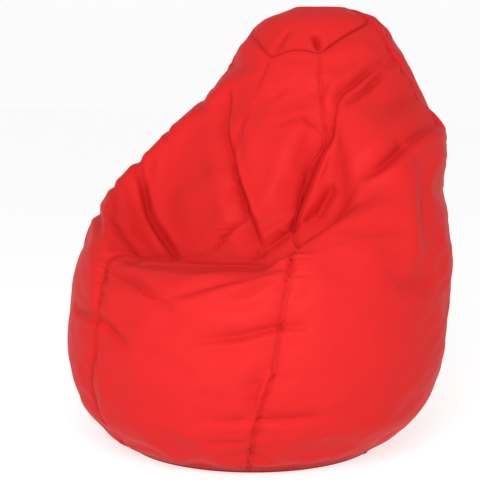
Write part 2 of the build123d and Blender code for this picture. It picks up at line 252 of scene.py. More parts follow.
def smooth_step(x, low, high):
    """From 0 at low to 1 at high, level at both ends."""
    t = np.clip((x - low) / (high - low), 0, 1)
    return t * t * (3 - 2 * t)


def ring_at(height):
    """Half width, half depth and leans of the level ring at a height."""
    return [smooth_through(height, RINGS[:, 0], RINGS[:, k]) for k in range(1, 5)]


def cast_to_bag(origin, direction):
    """Where rays from points inside the unpressed bag meet its face, by halving."""
    near = np.zeros(direction.shape[:-1])
    far = np.full(direction.shape[:-1], BAG_REACH)
    for _ in range(HALVINGS):
        middle = (near + far) / 2
        point = origin + middle[..., None] * direction
        half_width, half_depth, lean_x, lean_y = ring_at(point[..., 2])
        across = (point[..., 0] - lean_x) / half_width
        along = (point[..., 1] - lean_y) / half_depth
        inside = (across**2 + along**2 < 1) & (point[..., 2] < RINGS[-1, 0]) & (point[..., 2] > 0)
        near = np.where(inside, middle, near)
        far = np.where(inside, far, middle)
    return origin + ((near + far) / 2)[..., None] * direction


def row_frames(share):
    """Middle and forward tilt of the rows, from the base's seam (0) to the cap's (1)."""
    rise = smooth_through(share, ROW_SHARES, ROW_RISES)
    foot = np.array([0, 0, BASE_SEAM_Z])
    middle = foot + rise[:, None] * (CAP_MIDDLE - foot)
    tilt = CAP_TILT * smooth_step(rise, LEVEL_RISE, 1)
    return middle, tilt


def unpressed_side(turn, share, edge=0.0):
    """Points of the side before anyone sat down, at the turns (rows by columns) of each share. Edge
    is 0 at a seam and 1 midway between two, where the cap's straight edges lie further in."""
    middle, tilt = row_frames(share)
    phi = np.radians(turn)
    slope = np.tan(tilt)[:, None]
    direction = np.stack([np.cos(phi), np.sin(phi), np.sin(phi) * slope], -1)
    direction /= np.linalg.norm(direction, axis=-1, keepdims=True)
    lift = smooth_step(share, CAP_LIFT_FROM, 1)[:, None] * (
        CAP_CORNER_LIFT + (CAP_EDGE_LIFT - CAP_CORNER_LIFT) * edge
    )
    lift = lift[..., None] + np.zeros((*direction.shape[:2], 1))
    direction = np.cos(lift) * direction + np.sin(lift) * CAP_UP
    return cast_to_bag(middle[:, None, :], direction)


def press_seat(points, turn):
    """Moves points of the side back and down where the sitter's seat and back have been."""
    front_turn = np.clip((turn + 180) % 360 - 180, -180, 0)
    front_turn = np.where(points[..., 1] > SEAT_BEHIND, 0, front_turn)
    share = smooth_through(front_turn, SEAT_TURNS, SEAT_DEPTH)
    rise = smooth_through(front_turn, SEAT_TURNS, SEAT_RISE)
    height = points[..., 2] - rise * smooth_step(points[..., 2], SEAT_RISE_TOP, SEAT_RISE_FOOT)
    pressed = points.copy()
    pressed[..., 1] += share * smooth_through(height, SEAT_HEIGHTS, SEAT_PUSH)
    pressed[..., 2] -= share * smooth_through(height, SEAT_HEIGHTS, SEAT_DROP)
    return pressed


def seam_turns(heights):
    """Turn of each of the six seams at the heights it has in every row, in the panels' order."""
    left = smooth_through(heights[:, 0], *zip(*FRONT_LEFT_SEAM))
    right = smooth_through(heights[:, 1], *zip(*FRONT_RIGHT_SEAM))
    straight = [np.full_like(left, turn) for turn in STRAIGHT_SEAMS]
    return np.stack([left, right, *straight], -1)


def column_turns(seams, columns):
    """Turns of all columns: each panel's between its two seams, closer together beside them."""
    even = np.arange(columns) / columns
    share = EVEN_COLUMNS * even + (1 - EVEN_COLUMNS) * (1 - np.cos(math.pi * even)) / 2
    nexts = np.concatenate([seams[:, 1:], seams[:, :1] + 360], 1)
    turns = seams[:, :, None] + (nexts - seams)[:, :, None] * share
    return turns.reshape(len(seams), -1)


def side_grid(rows, columns):
    """The pressed side as rows by columns of points, with their turns and unpressed heights."""
    share = np.linspace(0, 1, rows)
    seams = seam_turns(np.full((rows, 2), MIDDLE_HEIGHT))
    for _ in range(3):
        heights = unpressed_side(seams, share)[:, :2, 2]
        seams = seam_turns(heights)
    turns = column_turns(seams, columns)
    edge = np.tile(np.sin(math.pi * np.arange(columns) / columns), len(PANELS)) ** 2
    unpressed = unpressed_side(turns, share, edge)
    return press_seat(unpressed, turns), turns, unpressed[..., 2]


def grid_normals(points):
    """Outward unit normals of a side grid, which closes on itself sideways."""
    sideways = np.roll(points, -1, 1) - np.roll(points, 1, 1)
    upward = np.gradient(points, axis=0)
    normals = np.cross(sideways, upward)
    return normals / np.linalg.norm(normals, axis=-1, keepdims=True)


def place_on_side(path, points, turns, heights):
    """Points of a fold's path, by turn and height, found on the pressed side."""
    path = np.asarray(path, float)
    steps = np.arange(len(path))
    fine = np.linspace(0, len(path) - 1, PATH_FINENESS * len(path))
    placed = []
    for turn, height in zip(*(smooth_through(fine, steps, path[:, k]) for k in (0, 1))):
        away = np.abs((turns - turn + 180) % 360 - 180) / 90 + np.abs(heights - height)
        placed.append(points.reshape(-1, 3)[np.argmin(away)])
    placed = np.array(placed)
    for _ in range(PATH_SOFTENING):
        placed[1:-1] = (placed[:-2] + 2 * placed[1:-1] + placed[2:]) / 4
    return placed


def fold_depth(line, points, normals, depth, left_width, right_width):
    """How far in a fold along a line pushes each point: a valley between two low shoulders."""
    low = line.min(0) - FOLD_REACH * max(left_width, right_width)
    high = line.max(0) + FOLD_REACH * max(left_width, right_width)
    near = np.all((points > low) & (points < high), -1)
    spot = points[near]
    starts, spans = line[:-1], np.diff(line, axis=0)
    lengths = np.linalg.norm(spans, axis=-1)
    offset = spot[:, None, :] - starts
    along = np.clip((offset * spans).sum(-1) / lengths**2, 0, 1)
    gap = offset - along[..., None] * spans
    distance = np.linalg.norm(gap, axis=-1)
    best = distance.argmin(1)
    pick = np.arange(len(spot))
    side = np.sign((np.cross(normals[near], spans[best]) * gap[pick, best]).sum(-1))
    width = np.where(side > 0, left_width, right_width)
    reach = distance[pick, best] / width
    progress = (best + along[pick, best]) / len(spans)
    taper = np.sqrt(np.clip(np.sin(math.pi * np.clip(progress, 0.001, 0.999)), 0, 1))
    shoulder = SHOULDER_HEIGHT * np.exp(-(((reach - SHOULDER_PLACE) / SHOULDER_WIDTH) ** 2))
    pushed = np.zeros(points.shape[:-1])
    pushed[near] = depth * taper * (np.exp(-(reach**FOLD_ROUNDNESS)) - shoulder)
    return pushed


def waves(seed, *coordinates):
    """A smooth uneven ripple, between about -1 and 1, from a few waves of mixed length."""
    random = np.random.default_rng(seed)
    total = 0
    for size in WAVE_SIZES:
        phase = random.uniform(0, 2 * math.pi)
        slants = random.uniform(-1, 1, len(coordinates) - 1)
        spot = coordinates[0] * size + phase
        for slant, other in zip(slants, coordinates[1:]):
            spot = spot + slant * size * other
        total = total + np.sin(spot) / size**0.5
    return total / WAVE_PEAK


def seam_relief(points, heights, columns):
    """Height of the cloth beside its seams: a groove, a dip under each row of stitches, puckers."""
    relief = np.zeros(heights.shape)
    lengths = np.linalg.norm(np.diff(points, axis=0, prepend=points[:1]), axis=-1).cumsum(0)
    for index in range(len(PANELS)):
        seam = index * columns
        across = np.roll(points, -seam, 1)
        steps = np.linalg.norm(np.diff(across, axis=1), axis=-1)
        right_way = np.concatenate([np.zeros((len(points), 1)), steps.cumsum(1)], 1)
        total = right_way[:, -1:] + steps[:, -1:]
        distance = np.minimum(right_way, total - right_way)
        distance = np.roll(distance, seam, 1)
        signed = np.where(np.roll(right_way < total / 2, seam, 1), 1.0, -1.0)
        along = lengths[:, seam][:, None]
        bend = 30 * distance * (0.6 + 0.4 * np.sin(along * 9 + index))
        pucker = waves(10 + index, along * PUCKER_RATE + bend, signed * 0.8)
        strength = 0.5 + 0.5 * waves(30 + index, along * 14)
        flatter = TAUT_SHARE if index < FRONT_SEAMS else 0
        taut = 1 - flatter * smooth_step(heights, TAUT_FROM, TAUT_TO)
        dip = np.exp(-(((distance - STITCH_OFFSET) / STITCH_DIP_WIDTH) ** 2))
        relief -= GROOVE_DEPTH * taut * np.exp(-((distance / GROOVE_WIDTH) ** 2))
        relief -= STITCH_DIP * taut * dip
        fade = np.exp(-((distance / PUCKER_WIDTH) ** 1.4))
        relief += PUCKER_HEIGHT * taut * strength * pucker * fade
    return relief


def soft_dents(points):
    """The slow unevenness of a bag of loose beads."""
    x, y, z = points[..., 0], points[..., 1], points[..., 2]
    big, small = waves(3, x * 11, y * 9, z * 13), waves(5, z * 34, x * 27, y * 25)
    return BIG_DENT * big + SMALL_DENT * small


def grid_faces(rows, columns, closed=False):
    """Quads of a grid of points listed row by row. A closed one's last column meets its first."""
    spans = columns if closed else columns - 1
    return [
        (r * columns + c, r * columns + (c + 1) % columns,
         (r + 1) * columns + (c + 1) % columns, (r + 1) * columns + c)
        for r in range(rows - 1) for c in range(spans)
    ]


def edge_fade(rows):
    """1 on all rows of the side but the few beside its two edges, where it falls to 0."""
    share = np.linspace(0, 1, rows)[:, None]
    return smooth_step(share, 0, 0.02) * smooth_step(share, 1, 0.97)


def fold_relief(points, turns, heights):
    """Outward move of each point that makes the folds, ridges and soft dents."""
    normals = grid_normals(points)
    relief = soft_dents(points)
    for path, depth, left_width, right_width in (*FOLDS.values(), *RIDGES.values()):
        line = place_on_side(path, points, turns, heights)
        relief -= fold_depth(line, points, normals, depth, left_width, right_width)
    return relief * edge_fade(len(points))


def rows_beside(field):
    """A field on a side grid moved one row up and one row down, its edge rows doubled."""
    return field[[0, *range(len(field) - 1)]], field[[*range(1, len(field)), -1]]


def softened(field, times):
    """A field on a side grid with each value mixed with its neighbours, over and over."""
    for _ in range(times):
        field = (field + np.roll(field, 1, 1) + np.roll(field, -1, 1)) / 3
        below, above = rows_beside(field)
        field = (field + below + above) / 3
    return field


def resampled(field, rows, columns):
    """A field on a side grid read off on a finer one, smoothly."""
    for axis, count in ((0, rows), (1, columns)):
        size = field.shape[axis]
        last = size - 1 if axis == 0 else size
        spot = np.linspace(0, last, count, endpoint=axis == 0)
        k = np.floor(spot).astype(int)
        t = (spot - k).reshape(-1, *[1] * (1 - axis))
        weights = (
            t * (t * (2 - t) - 1) / 2, (t * t * (3 * t - 5) + 2) / 2,
            t * (t * (4 - 3 * t) + 1) / 2, t * t * (t - 1) / 2,
        )
        picks = [k + step for step in (-1, 0, 1, 2)]
        picks = [np.clip(p, 0, last) if axis == 0 else p % size for p in picks]
        field = sum(w * np.take(field, p, axis) for w, p in zip(weights, picks))
    return field


def set_weights(piece, name, weights):
    """A vertex group with a weight for every point."""
    group = piece.vertex_groups.new(name=name)
    for weight in np.unique(weights):
        group.add(np.flatnonzero(weights == weight).tolist(), float(weight), "REPLACE")


def cloth_wrinkles(rows, columns):
    """The wrinkles that form when the seams gather a cover with some cloth to spare, from a cloth
    simulation, as outward moves on a side grid."""
    columns = len(PANELS) * columns
    points, turns, heights = side_grid(CLOTH_ROWS, CLOTH_COLUMNS)
    start = points + grid_normals(points) * fold_relief(points, turns, heights)[..., None]
    mesh = bpy.data.meshes.new("cloth")
    faces = grid_faces(*start.shape[:2], closed=True)
    mesh.from_pydata(start.reshape(-1, 3), [], faces)
    sheet = bpy.data.objects.new("cloth", mesh)
    bpy.context.scene.collection.objects.link(sheet)

    hold = np.full(start.shape[:2], LOOSE_HOLD)
    hold[[0, -1]] = 1.0
    hold[[1, -2]] = NEXT_HOLD
    gather = np.zeros(start.shape[:2])
    gather[:, ::CLOTH_COLUMNS] = 1.0
    gather[:, 1::CLOTH_COLUMNS] = NEXT_GATHER
    gather[:, CLOTH_COLUMNS - 1::CLOTH_COLUMNS] = NEXT_GATHER
    set_weights(sheet, "hold", hold.ravel())
    set_weights(sheet, "gather", gather.ravel())

    cloth = sheet.modifiers.new("cloth", "CLOTH")
    settings = cloth.settings
    settings.quality = 5
    settings.mass = 0.15
    settings.tension_stiffness = 20
    settings.compression_stiffness = 20
    settings.shear_stiffness = 10
    settings.bending_stiffness = 3
    settings.vertex_group_mass = "hold"
    settings.pin_stiffness = 1
    settings.vertex_group_shrink = "gather"
    settings.shrink_min = -SPARE_CLOTH
    settings.shrink_max = SEAM_GATHER
    settings.effector_weights.gravity = 0
    cloth.collision_settings.use_collision = False
    cloth.point_cache.frame_start = 1
    cloth.point_cache.frame_end = CLOTH_FRAMES
    for frame_number in range(1, CLOTH_FRAMES + 1):
        bpy.context.scene.frame_set(frame_number)
    settled = sheet.evaluated_get(bpy.context.evaluated_depsgraph_get())
    ended = np.empty(start.size)
    settled.data.vertices.foreach_get("co", ended)
    bpy.data.objects.remove(sheet)
    bpy.context.scene.frame_set(1)

    moved = ((ended.reshape(start.shape) - start) * grid_normals(start)).sum(-1)
    moved = softened(moved, FINE_PASSES) - softened(moved, COARSE_PASSES)
    return resampled(WRINKLE_CAP * np.tanh(WRINKLE_GAIN * moved / WRINKLE_CAP), rows, columns)


def cover_side():
    """The cover's whole side with its seams, folds and wrinkles, relative to the base's middle, and
    the smooth side and the relief on it that the layers inside follow."""
    points, turns, heights = side_grid(SIDE_ROWS, PANEL_COLUMNS)
    wrinkles = cloth_wrinkles(SIDE_ROWS, PANEL_COLUMNS)
    relief = edge_fade(SIDE_ROWS) * (seam_relief(points, heights, PANEL_COLUMNS) + wrinkles)
    relief += fold_relief(points, turns, heights)
    share = np.linspace(0, 1, SIDE_ROWS)[:, None]
    relief -= BASE_HEM * np.exp(-((share / HEM_SHARE) ** 2))
    relief -= CAP_HEM * np.exp(-(((1 - share) / HEM_SHARE) ** 2))
    return points + grid_normals(points) * relief[..., None], points, relief


def deepest_near(relief, reach):
    """The lowest relief within a few rows and columns of each point, softened."""
    low = relief
    for _ in range(reach):
        low = np.minimum.reduce([low, np.roll(low, 1, 1), np.roll(low, -1, 1)])
        low = np.minimum.reduce([low, *rows_beside(low)])
    return softened(low, reach)


def cap_grid(rim, rows):
    """The cap from its rim to its middle, as the unpressed bag's own top, joined to the rim."""
    share = np.linspace(0, 1, rows)
    outward = rim - CAP_MIDDLE
    outward = outward / np.linalg.norm(outward, axis=-1, keepdims=True)
    direction = (1 - share[:, None, None]) * outward + share[:, None, None] * CAP_UP
    direction /= np.linalg.norm(direction, axis=-1, keepdims=True)
    dome = cast_to_bag(CAP_MIDDLE, direction)
    dome += (rim - dome[0]) * ((1 - share[:, None]) ** 3)[..., None]
    return dome


# ---- Mesh building -------------------------------------------------------------------------------
def new_mesh_object(name, vertices, faces, material):
    """A smooth-shaded piece that rides the bag, from points given in the frame."""
    mesh = bpy.data.meshes.new(name)
    mesh.from_pydata([tuple(v) for v in vertices], [], faces)
    mesh.validate()
    mesh.update()
    mesh.polygons.foreach_set("use_smooth", [True] * len(mesh.polygons))
    mesh.materials.append(material)
    piece = bpy.data.objects.new(name, mesh)
    bpy.context.scene.collection.objects.link(piece)
    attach(piece, "bag")
    return piece


def apply_modifiers(piece):
    """Replaces a piece's mesh by the one its modifiers make."""
    bpy.context.view_layer.update()
    shaped = piece.evaluated_get(bpy.context.evaluated_depsgraph_get())
    mesh = bpy.data.meshes.new_from_object(shaped)
    piece.modifiers.clear()
    piece.data = mesh


def thicken(piece, thickness):
    """Gives a sheet its thickness, inward from its outer face."""
    shell = piece.modifiers.new("thickness", "SOLIDIFY")
    shell.thickness = thickness
    shell.offset = -1
    apply_modifiers(piece)


def add_grid(name, points, closed, material):
    """A grid of points, given from the base's middle, as one sheet with no thickness."""
    faces = grid_faces(*points.shape[:2], closed)
    return new_mesh_object(name, points.reshape(-1, 3) + BASE, faces, material)


def add_cloth(name, points, closed, flat, area, held="stretched", rests_on="bead_fill"):
    """A grid of points as a sheet of cover cloth that stands for the CAD node of the same name."""
    piece = add_grid(name + "_cloth", points, closed, cover_red)
    thicken(piece, CLOTH_THICK)
    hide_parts(name)


# ---- Stitches ------------------------------------------------------------------------------------
def even_spots(line, pitch):
    """Points a pitch apart along a line, the direction there, and how far along each one is."""
    spans = np.linalg.norm(np.diff(line, axis=0), axis=-1)
    lengths = np.concatenate([[0], spans.cumsum()])
    spots = np.arange(pitch / 2, lengths[-1], pitch)
    place = np.stack([np.interp(spots, lengths, line[:, k]) for k in range(3)], -1)
    near = 0.001
    ahead = np.stack([np.interp(spots + near, lengths, line[:, k]) for k in range(3)], -1)
    behind = np.stack([np.interp(spots - near, lengths, line[:, k]) for k in range(3)], -1)
    direction = ahead - behind
    direction /= np.linalg.norm(direction, axis=-1, keepdims=True)
    return place, direction, spots / lengths[-1]


def stitch_shape():
    """One stitch along +X: a thread that dives into the cloth at both ends, as rings of points."""
    along = np.array([-1, -0.8, -0.35, 0.35, 0.8, 1]) * STITCH_LENGTH / 2
    thick = np.array([0.35, 0.85, 1.0, 1.0, 0.85, 0.35]) * STITCH_RADIUS
    rise = np.array([-0.9, 0.0, 0.55, 0.55, 0.0, -0.9]) * STITCH_RADIUS
    sides = 6
    turn = 2 * math.pi * np.arange(sides) / sides
    x = np.repeat(along, sides)
    y = np.outer(thick, np.cos(turn)).ravel()
    z = (np.outer(thick, np.sin(turn)) + rise[:, None]).ravel()
    faces = [tuple(reversed(face)) for face in grid_faces(len(along), sides, closed=True)]
    last = len(x) - 1
    ends = [tuple(range(sides)), tuple(range(last, last - sides, -1))]
    return np.stack([x, y, z], -1), [*faces, *ends]


def add_stitches(name, rows, node):
    """Rows of stitches in one piece. Each row is a line of points on the cloth and its normals."""
    shape, shape_faces = stitch_shape()
    vertices, faces = [], []
    for line, normals in rows:
        place, forward, share = even_spots(line, STITCH_PITCH)
        spread = np.linspace(0, 1, len(line))
        up = np.stack([np.interp(share, spread, normals[:, k]) for k in range(3)], -1)
        sideways = np.cross(up, forward)
        sideways /= np.linalg.norm(sideways, axis=-1, keepdims=True)
        up = np.cross(forward, sideways)
        for spot, x_way, y_way, z_way in zip(place, forward, sideways, up):
            first = len(vertices) * len(shape)
            vertices.append(spot + shape @ np.stack([x_way, y_way, z_way]))
            faces.extend(tuple(first + k for k in face) for face in shape_faces)
    piece = new_mesh_object(name, np.concatenate(vertices) + BASE, faces, thread_red)
    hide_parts(node)


def line_beside(grid, place, offset):
    """The line on the cloth a fixed distance to one side of a row of a grid of points."""
    step = 1 if offset > 0 else -1
    wanted = np.full(grid.shape[1], abs(offset))
    count = len(grid)
    line = grid[place % count].copy()
    for _ in range(4):
        here, there = grid[place % count], grid[(place + step) % count]
        gap = np.linalg.norm(there - here, axis=-1)
        share = np.clip(wanted / gap, 0, 1)
        line = np.where((wanted > 0)[:, None], here + share[:, None] * (there - here), line)
        wanted = wanted - gap
        place += step
    return line


def beside_column(points, normals, column, offset):
    """A row of stitches beside a column of a side grid, short of both its ends."""
    line = line_beside(points.transpose(1, 0, 2), column, offset)
    return line[2:-2], normals[2:-2, column]


def beside_row(points, normals, row, offset):
    """A closed row of stitches above or below a row of a side grid."""
    line = line_beside(points, row, offset)
    return np.concatenate([line, line[:1]]), np.concatenate([normals[row], normals[row][:1]])


# ---- Materials -----------------------------------------------------------------------------------
class Nodes:
    """A material's shader nodes, added and joined by name."""

    def __init__(self, name):
        self.material = bpy.data.materials.new(name)
        self.material.use_nodes = True
        self.tree = self.material.node_tree
        self.shader = self.tree.nodes["Principled BSDF"]
        self.place = self.add("ShaderNodeTexCoord").outputs["Object"]

    def add(self, kind, **values):
        node = self.tree.nodes.new(kind)
        for key, value in values.items():
            if key in node.inputs:
                node.inputs[key].default_value = value
            else:
                setattr(node, key, value)
        return node

    def join(self, source, target):
        self.tree.links.new(source, target)

    def noise(self, scale, detail=2.0, roughness=0.5):
        node = self.add("ShaderNodeTexNoise", Scale=scale, Detail=detail, Roughness=roughness)
        self.join(self.place, node.inputs["Vector"])
        return node.outputs["Fac"]

    def threads(self, scale, direction):
        """Parallel threads that run across one axis."""
        node = self.add("ShaderNodeTexWave", Scale=scale, Distortion=0.6, wave_type="BANDS")
        node.bands_direction = direction
        self.join(self.place, node.inputs["Vector"])
        return node.outputs["Fac"]

    def mix(self, factor, low, high):
        """A colour between two, by a factor."""
        node = self.add("ShaderNodeMix", data_type="RGBA")
        self.join(factor, node.inputs["Factor"])
        node.inputs["A"].default_value = (*low, 1)
        node.inputs["B"].default_value = (*high, 1)
        return node.outputs["Result"]

    def spread(self, value, low, high):
        """A value from 0..1 moved to low..high."""
        node = self.add("ShaderNodeMapRange")
        self.join(value, node.inputs["Value"])
        node.inputs["To Min"].default_value = low
        node.inputs["To Max"].default_value = high
        return node.outputs["Result"]

    def sum(self, first, second, weight):
        node = self.add("ShaderNodeMath", operation="MULTIPLY_ADD")
        self.join(second, node.inputs[0])
        node.inputs[1].default_value = weight
        self.join(first, node.inputs[2])
        return node.outputs["Value"]

    def bump(self, height, distance, strength=1.0, under=None):
        node = self.add("ShaderNodeBump", Strength=strength, Distance=distance)
        self.join(height, node.inputs["Height"])
        if under is not None:
            self.join(under, node.inputs["Normal"])
        return node.outputs["Normal"]


def woven(name, colour, painted_shade, weave=1500.0, roughness=(0.40, 0.50), crease=0.0006, gloss=0.03):
    """A woven cloth: fine crossed threads, faint rumples, colour that varies at random, and painted
    shade that darkens it towards a shade colour in its creases and hollows by ambient occlusion.
    """
    nodes = Nodes(name)
    shader = nodes.shader
    # painted shade: ambient occlusion darkens the cloth towards its shade colour in creases,
    # recesses and where parts meet
    crease_ao = nodes.add("ShaderNodeAmbientOcclusion", Distance=0.03, samples=8)
    painted_shade_factor = nodes.add("ShaderNodeMapRange")
    nodes.join(crease_ao.outputs["AO"], painted_shade_factor.inputs["Value"])
    painted_shade_factor.inputs["From Min"].default_value = 0.45
    painted_shade_factor.inputs["From Max"].default_value = 0.95
    # the painted shade times a random tone that varies over the cloth
    shade_and_tone = nodes.add("ShaderNodeMath", operation="MULTIPLY")
    nodes.join(painted_shade_factor.outputs["Result"], shade_and_tone.inputs[0])
    nodes.join(nodes.spread(nodes.noise(6.0, 3.0), 0.80, 1.0), shade_and_tone.inputs[1])
    nodes.join(nodes.mix(shade_and_tone.outputs["Value"], painted_shade, colour), shader.inputs["Base Color"])
    nodes.join(nodes.spread(nodes.noise(40.0), *roughness), shader.inputs["Roughness"])
    crossed = nodes.sum(nodes.threads(weave, "X"), nodes.threads(weave, "Z"), 1.0)
    crossed = nodes.sum(crossed, nodes.threads(weave, "Y"), 1.0)
    rumples = nodes.bump(nodes.noise(26.0, 4.0, 0.55), crease)
    nodes.join(nodes.bump(crossed, 0.00004, 0.5, rumples), shader.inputs["Normal"])
    shader.inputs["Specular IOR Level"].default_value = gloss
    return nodes.material


def painted_metal(name, colour):
    nodes = Nodes(name)
    nodes.join(nodes.mix(nodes.noise(300.0), colour, [c * 0.8 for c in colour]),
               nodes.shader.inputs["Base Color"])
    nodes.join(nodes.spread(nodes.noise(500.0), 0.28, 0.42), nodes.shader.inputs["Roughness"])
    nodes.join(nodes.bump(nodes.noise(900.0, 3.0), 0.00003), nodes.shader.inputs["Normal"])
    nodes.shader.inputs["Metallic"].default_value = 0.35
    nodes.shader.inputs["Coat Weight"].default_value = 0.4
    return nodes.material


def moulded_plastic(name, colour):
    nodes = Nodes(name)
    nodes.join(nodes.mix(nodes.noise(200.0), colour, [c * 0.85 for c in colour]),
               nodes.shader.inputs["Base Color"])
    nodes.join(nodes.spread(nodes.noise(700.0), 0.25, 0.4), nodes.shader.inputs["Roughness"])
    nodes.join(nodes.bump(nodes.noise(1200.0, 2.0), 0.00002), nodes.shader.inputs["Normal"])
    return nodes.material


def bead_foam(name):
    """Packed polystyrene beads, a few millimetres across, with painted shade that darkens each bead
    from its middle towards the gaps between beads.
    """
    nodes = Nodes(name)
    cells = nodes.add("ShaderNodeTexVoronoi", Scale=240.0)
    nodes.join(nodes.place, cells.inputs["Vector"])
    # painted shade: each bead's colour darkens from its middle out towards the gaps between beads
    nodes.join(nodes.mix(cells.outputs["Distance"], (0.92, 0.92, 0.90), (0.70, 0.70, 0.68)),
               nodes.shader.inputs["Base Color"])
    nodes.join(nodes.bump(nodes.spread(cells.outputs["Distance"], 1.0, 0.0), 0.0015),
               nodes.shader.inputs["Normal"])
    nodes.shader.inputs["Roughness"].default_value = 0.75
    nodes.shader.inputs["Subsurface Weight"].default_value = 0.1
    nodes.shader.inputs["Subsurface Radius"].default_value = (0.003, 0.003, 0.003)
    return nodes.material


# Each cloth's colour in the open, then its painted shade: the colour that ambient occlusion darkens
# it to down in its creases and hollows
COVER_COLOURS = (0.620, 0.0200, 0.0200), (0.40, 0.0080, 0.0080)
THREAD_COLOURS = (0.62, 0.015, 0.015), (0.50, 0.010, 0.010)
TAPE_COLOURS = (0.50, 0.012, 0.014), (0.42, 0.010, 0.012)
LINER_COLOURS = (0.80, 0.80, 0.78), (0.72, 0.72, 0.70)
STRIP_COLOURS = (0.86, 0.86, 0.85), (0.78, 0.78, 0.78)

cover_red = woven("cover_satin", *COVER_COLOURS)
thread_red = woven("sewing_thread", *THREAD_COLOURS, weave=4000.0, crease=0.0001)
tape_red = woven("zip_tape", *TAPE_COLOURS, weave=2200.0, crease=0.0001)
teeth_red = moulded_plastic("zip_teeth", (0.42, 0.012, 0.014))
metal_red = painted_metal("zip_metal", (0.45, 0.012, 0.014))
liner_white = woven("liner_cloth", *LINER_COLOURS, weave=1800.0, roughness=(0.7, 0.85))
strip_white = woven("liner_closure", *STRIP_COLOURS, weave=3000.0, roughness=(0.8, 0.9))
beads_white = bead_foam("polystyrene_beads")

# ---- Cover ---------------------------------------------------------------------------------------
side, smooth_side, relief = cover_side()
side_normals = grid_normals(side)
for index, name in enumerate(PANELS):
    first = index * PANEL_COLUMNS
    columns = [(first + k) % side.shape[1] for k in range(PANEL_COLUMNS + 1)]
    add_cloth(name, side[:, columns], False, *PANEL_CLOTH[name])

cap = cap_grid(side[-1, ::CAP_STEP], CAP_ROWS)
cap_normals = grid_normals(cap)
cap_relief = CAP_DENTS * soft_dents(cap)
for corner, reach, depth in CAP_CREASES:
    crease = cap[:reach, corner * PANEL_COLUMNS // CAP_STEP]
    cap_relief -= fold_depth(crease, cap, cap_normals, depth, CAP_CREASE_LEFT, CAP_CREASE_RIGHT)
cap_relief *= smooth_step(np.arange(CAP_ROWS), 0, 2)[:, None]
cap = cap + cap_normals * cap_relief[..., None]
add_cloth("top_cap", cap, True, *CAP_CLOTH)


def base_half(sign):
    """Half of the base, front (-1) or rear (1): a half moon that lies on the floor, turned up at
    its rim and, beside the zip, at its straight edge."""
    half_width, half_depth, lean_x, lean_y = ring_at(BASE_SEAM_Z)
    half_width, half_depth = half_width - BASE_INSET, half_depth - BASE_INSET
    at_slot_end = SLOT_END + np.linspace(-0.003, 0.003, 13)  # close columns for its square corners
    corners = [np.arcsin((end * at_slot_end - lean_x) / half_width) for end in (-1, 1)]
    even = np.radians(np.linspace(-BASE_BEND, BASE_BEND, BASE_COLUMNS))
    bend = np.sort(np.concatenate([even, *corners]))
    x = lean_x + half_width * np.sin(bend)
    rim = sign * lean_y + half_depth * np.cos(bend)
    beside_zip = smooth_step(SLOT_END + SLOT_CORNER[0] - np.abs(x), 0, SLOT_CORNER[1])
    edge = np.minimum(MIDDLE_GAP + (SLOT_HALF_WIDTH - MIDDLE_GAP) * beside_zip, rim)
    rows = [
        (np.minimum(edge + step, rim), BASE_Z + beside_zip * (z - BASE_Z)) for step, z in TURN_UP
    ]
    flat_start = np.minimum(edge + FLAT_FROM, rim)
    for share in np.linspace(0, 1, BASE_ROWS):
        y = flat_start + share * (rim - flat_start)
        from_rim = (half_width + half_depth) / 2 - np.hypot(x - lean_x, y - sign * lean_y)
        z = BASE_Z + (BASE_SEAM_Z - BASE_Z) * (1 - smooth_step(from_rim, 0, BASE_RIM_WIDTH))
        rows.append((y, z))
    grid = np.array([np.stack([x, sign * y, z + 0 * x], -1) for y, z in rows])
    return grid[:, ::-1] if sign < 0 else grid


for name, sign in (("base_panel_front", -1), ("base_panel_rear", 1)):
    add_cloth(name, base_half(sign), False, *BASE_CLOTH, held="laid", rests_on="floor")

# ---- Stitching -----------------------------------------------------------------------------------
both_sides = (-STITCH_OFFSET, STITCH_OFFSET)
for index, name in enumerate(SEAM_THREADS):
    column = index * PANEL_COLUMNS
    rows = [beside_column(side, side_normals, column, offset) for offset in both_sides]
    add_stitches(name + "_stitches", rows, name)

around_cap = np.concatenate([side[-1 - RIM_ROWS:-1, ::CAP_STEP], cap])
around_normals = grid_normals(around_cap)
rows = [beside_row(around_cap, around_normals, RIM_ROWS, offset) for offset in both_sides]
add_stitches("cap_seam_stitches", rows, "cap_seam_thread")
rows = [beside_row(side, side_normals, 0, BASE_STITCH_OFFSET)]
add_stitches("base_seam_stitches", rows, "base_seam_thread")

# The base's halves meet beyond both ends of the zip, where two rows of stitches hold them
rows = []
downward = np.tile((0.0, 0.0, -1.0), (MIDDLE_STITCHES, 1))
for end in (-1, 1):
    x_from = SLOT_END + MIDDLE_STITCH_FROM
    x_to = ring_at(BASE_SEAM_Z)[0] - MIDDLE_STITCH_TO
    x = end * np.linspace(x_from, x_to, MIDDLE_STITCHES)
    for y in (-BASE_STITCH_OFFSET, BASE_STITCH_OFFSET):
        rows.append((np.stack([x, y + 0 * x, BASE_Z + 0 * x], -1), downward))
add_stitches("base_middle_stitches", rows, "base_middle_thread")

# ---- Liner and beads -----------------------------------------------------------------------------
INNER_ROWS = [*range(0, SIDE_ROWS - 1, INNER_ROW_STEP), SIDE_ROWS - 1]
inner_normals = grid_normals(smooth_side)
inner_side = smooth_side + deepest_near(relief, INNER_CLEAR)[..., None] * inner_normals
inner_side = inner_side[INNER_ROWS][:, ::INNER_COLUMN_STEP]
inner_normals = inner_normals[INNER_ROWS][:, ::INNER_COLUMN_STEP]


